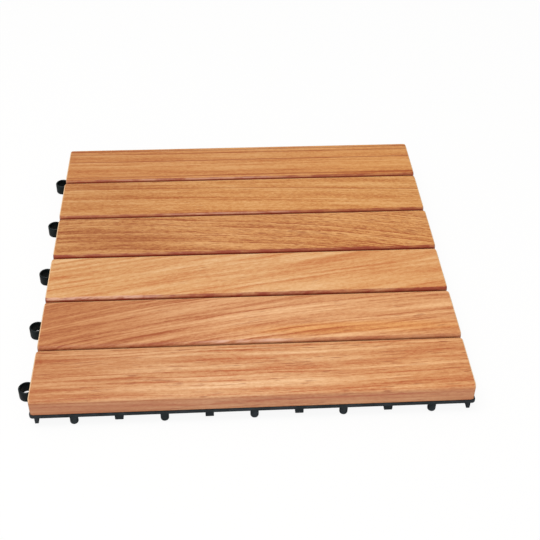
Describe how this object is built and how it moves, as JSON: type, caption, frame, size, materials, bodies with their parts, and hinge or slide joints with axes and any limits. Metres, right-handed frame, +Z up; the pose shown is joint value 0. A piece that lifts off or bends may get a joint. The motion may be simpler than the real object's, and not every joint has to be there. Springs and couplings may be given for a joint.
{
  "type": "interlocking deck tile",
  "caption": "Square deck tile of hardwood slats screwed to a moulded lattice base, with loops and pegs that couple it to the next tile.",
  "frame": {"origin": "centre of the tile at ground level, on the end of the middle foot", "axes": "+Z up out of the wood; the slats run along X; loops stand out of the sides at -X and +Y, and pegs line the sides at +X and -Y"},
  "size_m": [0.3113, 0.3113, 0.024],
  "materials": {
    "moulding": "matt, fine moulded texture",
    "hardwood": "oiled, satin, straight to wavy grain along the slat",
    "screw_steel": "satin"
  },
  "bodies": {
    "root": {"base_grid": "moulding", "slat_1": "hardwood", "slat_2": "hardwood", "slat_3": "hardwood", "slat_4": "hardwood", "slat_5": "hardwood", "slat_6": "hardwood", "slat_screws": "screw_steel"}
  },
  "joints": []
}
